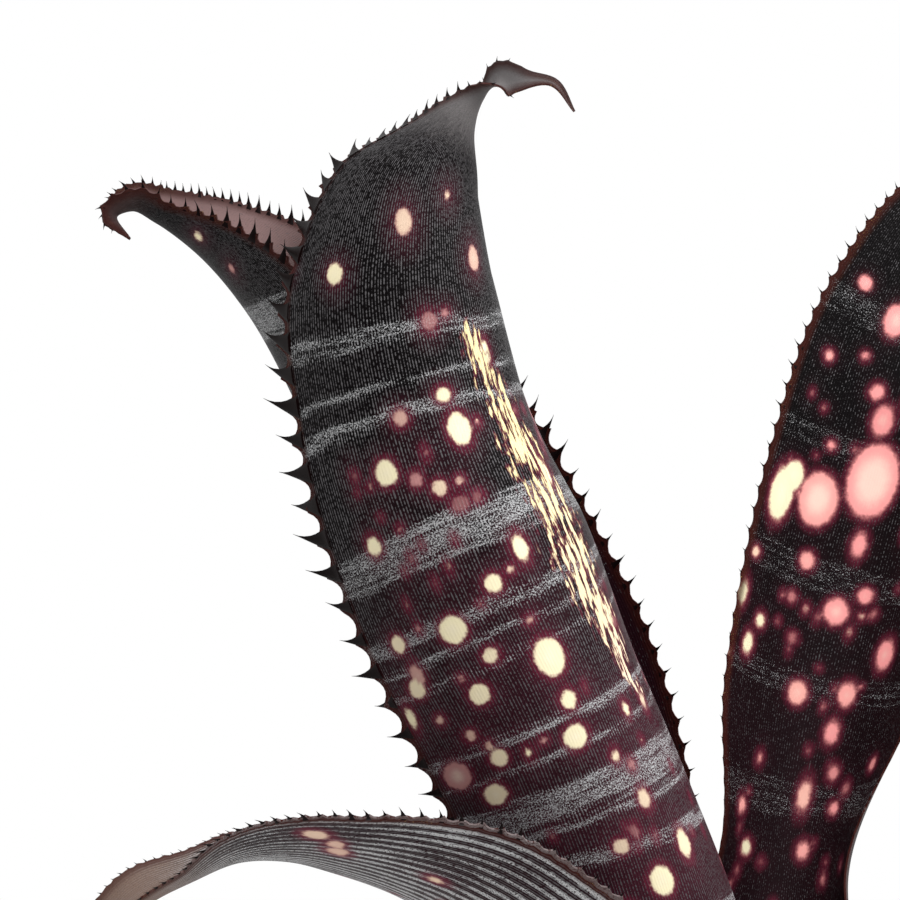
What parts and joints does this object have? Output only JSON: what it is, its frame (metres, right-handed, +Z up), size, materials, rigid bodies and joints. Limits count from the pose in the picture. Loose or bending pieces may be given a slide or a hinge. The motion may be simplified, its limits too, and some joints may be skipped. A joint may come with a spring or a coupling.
{
  "type": "potted bromeliad",
  "caption": "Tubular tank bromeliad with dark, spotted, silver-banded leaves and black marginal spines, rooted in bark mix in a plain clay pot.",
  "frame": {"origin": "centre of the pot's foot, on the surface that it stands on", "axes": "+Z up along the pot's axis; -Y towards the side that the front leaf's outer face turns to"},
  "size_m": [0.2629, 0.2393, 0.3664],
  "materials": {
    "clay": "matt unglazed earthenware",
    "bark_mix": "loose bark, coir and perlite",
    "caudex_skin": "dry fibrous stem",
    "inner_leaf_skin": "satin leaf with silver scurf",
    "front_leaf_skin": "satin leaf with silver scurf",
    "back_right_leaf_skin": "satin leaf with silver scurf",
    "front_left_leaf_skin": "satin leaf with silver scurf",
    "front_right_leaf_skin": "satin leaf with silver scurf",
    "back_left_leaf_skin": "satin leaf with silver scurf",
    "basal_leaf_front_skin": "satin leaf with silver scurf",
    "basal_leaf_back_skin": "satin leaf with silver scurf"
  },
  "bodies": {
    "root": {"pot": "clay", "potting_mix": "bark_mix", "caudex": "caudex_skin", "inner_leaf": "inner_leaf_skin", "front_leaf": "front_leaf_skin", "back_right_leaf": "back_right_leaf_skin", "front_left_leaf": "front_left_leaf_skin", "front_right_leaf": "front_right_leaf_skin", "back_left_leaf": "back_left_leaf_skin", "basal_leaf_front": "basal_leaf_front_skin", "basal_leaf_back": "basal_leaf_back_skin"}
  },
  "joints": []
}
